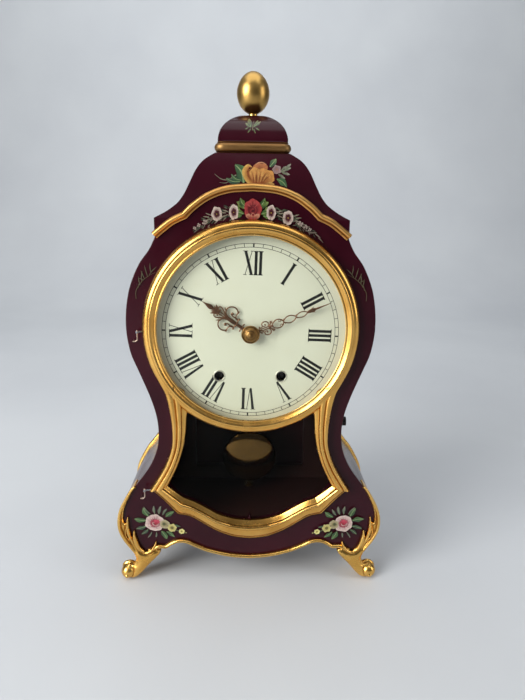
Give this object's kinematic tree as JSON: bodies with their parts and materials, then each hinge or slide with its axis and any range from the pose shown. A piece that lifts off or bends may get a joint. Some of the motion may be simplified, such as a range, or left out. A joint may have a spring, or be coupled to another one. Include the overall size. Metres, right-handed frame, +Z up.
{
  "type": "pendulum mantel clock",
  "caption": "Table clock in a waisted lacquered wooden case with gilt mounts and feet, round glazed dial door with pendulum window, pierced hands and a short bob pendulum.",
  "frame": {"origin": "centre of the bounding box's underside: the plane the feet stand on", "axes": "+Z up, the dial faces -Y, +X to the right seen from the front"},
  "size_m": [0.222, 0.1048, 0.4088],
  "materials": {
    "lacquer": "gloss lacquer over wood",
    "inner_wood": "stained, satin",
    "gilt": "gilt, satin in the recesses and burnished on the crests",
    "brass": "brushed",
    "bob_brass": "polished",
    "bell_metal": "turned, satin",
    "steel": "brushed",
    "dial_white": "gloss enamel, warm white",
    "glass": "clear, polished",
    "bronze": "patinated bronze"
  },
  "bodies": {
    "case": {"front_board": "lacquer", "left_side_panel": "lacquer", "right_side_panel": "lacquer", "base_board": "inner_wood", "back_frame": "inner_wood", "hood": "lacquer", "cap_dome": "lacquer", "cap_moulding": "gilt", "finial_stem": "brass", "egg_finial": "gilt", "hood_moulding": "gilt", "apron_moulding": "gilt", "left_front_leg": "gilt", "right_front_leg": "gilt", "rear_feet": "gilt", "rear_mouldings": "gilt", "front_hinge_hooks": "brass", "back_hinge_case_leaves": "brass", "movement_shelf": "inner_wood", "movement_screws": "steel", "dial": "dial_white", "front_plate": "brass", "back_plate": "brass", "pillars": "brass", "pillar_nuts": "steel", "pendulum_cock": "brass", "bell_stand": "steel", "bell": "bell_metal"},
    "front_door": {"door_frame": "gilt", "dial_glass": "glass", "pendulum_glass": "glass"},
    "back_door": {"back_door": "lacquer", "back_hinge_door_leaves": "brass"},
    "turn_button": {"turn_button": "brass"},
    "minute_hand": {"minute_hand": "bronze", "hand_nut": "bronze", "cannon_pinion": "steel"},
    "minute_wheel": {"minute_wheel": "brass"},
    "hour_hand": {"hour_hand": "bronze", "hour_wheel": "brass"},
    "time_barrel": {"time_barrel": "brass"},
    "second_wheel": {"second_wheel": "brass"},
    "centre_wheel": {"centre_wheel": "brass"},
    "third_wheel": {"third_wheel": "brass"},
    "escape_wheel": {"escape_wheel": "brass"},
    "pendulum": {"suspension_spring": "steel", "pendulum_rod": "brass", "pendulum_bob": "bob_brass"},
    "rating_nut": {"rating_nut": "brass"},
    "anchor": {"anchor": "steel"},
    "time_winding_arbor": {"time_winding_arbor": "steel"},
    "strike_winding_arbor": {"strike_winding_arbor": "steel"},
    "time_click": {"time_click": "steel"},
    "strike_click": {"strike_click": "steel"},
    "strike_barrel": {"strike_barrel": "brass"},
    "pin_wheel": {"pin_wheel": "brass"},
    "warning_wheel": {"warning_wheel": "brass"},
    "fly": {"fly": "steel"},
    "hammer": {"hammer": "steel"},
    "silence_knob": {"silence_knob": "steel"}
  },
  "joints": [
    {"name": "front_door_hinge", "type": "hinge", "parent": "case", "child": "front_door", "pos_m": [-0.0855, -0.0454, 0.216], "axis": [0, 0, -1], "range_deg": [0, 110]},
    {"name": "back_door_hinge", "type": "hinge", "parent": "case", "child": "back_door", "pos_m": [-0.0605, 0.0504, 0.162], "axis": [0, 0, 1], "range_deg": [0, 110]},
    {"name": "turn_button_turn", "type": "hinge", "parent": "case", "child": "turn_button", "pos_m": [0.0645, 0.051, 0.15], "axis": [0, -1, 0], "range_deg": [0, 90]},
    {"name": "minute_hand_turn", "type": "hinge", "parent": "case", "child": "minute_hand", "pos_m": [-0.0006, -0.04, 0.2176], "axis": [0, 1, 0], "continuous": true},
    {"name": "minute_wheel_turn", "type": "hinge", "parent": "case", "child": "minute_wheel", "pos_m": [-0.0124, -0.031, 0.20934], "axis": [0, 1, 0], "continuous": true},
    {"name": "hour_hand_turn", "type": "hinge", "parent": "case", "child": "hour_hand", "pos_m": [-0.0006, -0.036, 0.2176], "axis": [0, 1, 0], "continuous": true},
    {"name": "escape_wheel_turn", "type": "hinge", "parent": "case", "child": "escape_wheel", "pos_m": [-0.0006, -0.01, 0.2438], "axis": [0, 1, 0], "continuous": true},
    {"name": "third_wheel_turn", "type": "hinge", "parent": "case", "child": "third_wheel", "pos_m": [0.01292, -0.01, 0.23297], "axis": [0, 1, 0], "continuous": true},
    {"name": "centre_wheel_turn", "type": "hinge", "parent": "case", "child": "centre_wheel", "pos_m": [-0.0006, -0.01, 0.2176], "axis": [0, 1, 0], "continuous": true},
    {"name": "second_wheel_turn", "type": "hinge", "parent": "case", "child": "second_wheel", "pos_m": [0.01748, -0.01, 0.20692], "axis": [0, 1, 0], "continuous": true},
    {"name": "time_barrel_turn", "type": "hinge", "parent": "case", "child": "time_barrel", "pos_m": [0.0236, -0.01, 0.1832], "axis": [0, 1, 0], "continuous": true},
    {"name": "pendulum_swing", "type": "hinge", "parent": "case", "child": "pendulum", "pos_m": [-0.0006, 0.014, 0.2608], "axis": [0, 1, 0], "range_deg": [-5, 5]},
    {"name": "anchor_swing", "type": "hinge", "parent": "case", "child": "anchor", "pos_m": [-0.0006, -0.01, 0.2608], "axis": [0, 1, 0], "range_deg": [-5, 5]},
    {"name": "rating_nut_turn", "type": "hinge", "parent": "pendulum", "child": "rating_nut", "pos_m": [-0.0006, 0.014, 0.0619], "axis": [0, 0, 1], "continuous": true},
    {"name": "time_winding_turn", "type": "hinge", "parent": "case", "child": "time_winding_arbor", "pos_m": [0.0236, -0.028, 0.1832], "axis": [0, 1, 0], "continuous": true},
    {"name": "strike_winding_turn", "type": "hinge", "parent": "case", "child": "strike_winding_arbor", "pos_m": [-0.0248, -0.028, 0.1832], "axis": [0, 1, 0], "continuous": true},
    {"name": "time_click_lift", "type": "hinge", "parent": "case", "child": "time_click", "pos_m": [0.0328, -0.028, 0.1896], "axis": [0, -1, 0], "range_deg": [0, 15]},
    {"name": "strike_click_lift", "type": "hinge", "parent": "case", "child": "strike_click", "pos_m": [-0.034, -0.028, 0.1896], "axis": [0, 1, 0], "range_deg": [0, 15]},
    {"name": "warning_wheel_turn", "type": "hinge", "parent": "case", "child": "warning_wheel", "pos_m": [-0.02566, -0.01, 0.22609], "axis": [0, 1, 0], "continuous": true},
    {"name": "fly_turn", "type": "hinge", "parent": "case", "child": "fly", "pos_m": [-0.02293, -0.01, 0.2416], "axis": [0, 1, 0], "continuous": true},
    {"name": "pin_wheel_turn", "type": "hinge", "parent": "case", "child": "pin_wheel", "pos_m": [-0.01868, -0.01, 0.20692], "axis": [0, 1, 0], "continuous": true},
    {"name": "strike_barrel_turn", "type": "hinge", "parent": "case", "child": "strike_barrel", "pos_m": [-0.0248, -0.01, 0.1832], "axis": [0, 1, 0], "continuous": true},
    {"name": "hammer_lift", "type": "hinge", "parent": "case", "child": "hammer", "pos_m": [-0.0446, 0.005, 0.2116], "axis": [0, -1, 0], "range_deg": [0, 12]},
    {"name": "silence_knob_pull", "type": "slide", "parent": "case", "child": "silence_knob", "axis": [1, 0, 0], "range_m": [0, 0.005]}
  ],
  "couplings": [
    {"joint": "hour_hand_turn", "follows": "minute_hand_turn", "ratio": 0.083333},
    {"joint": "minute_wheel_turn", "follows": "minute_hand_turn", "ratio": -0.33333},
    {"joint": "third_wheel_turn", "follows": "escape_wheel_turn", "ratio": -0.1},
    {"joint": "centre_wheel_turn", "follows": "escape_wheel_turn", "ratio": 0.0083333},
    {"joint": "second_wheel_turn", "follows": "escape_wheel_turn", "ratio": -0.0013889},
    {"joint": "time_barrel_turn", "follows": "escape_wheel_turn", "ratio": 0.00023148},
    {"joint": "anchor_swing", "follows": "pendulum_swing", "ratio": 1},
    {"joint": "fly_turn", "follows": "warning_wheel_turn", "ratio": -8},
    {"joint": "pin_wheel_turn", "follows": "warning_wheel_turn", "ratio": -0.13333},
    {"joint": "strike_barrel_turn", "follows": "warning_wheel_turn", "ratio": 0.022222}
  ]
}
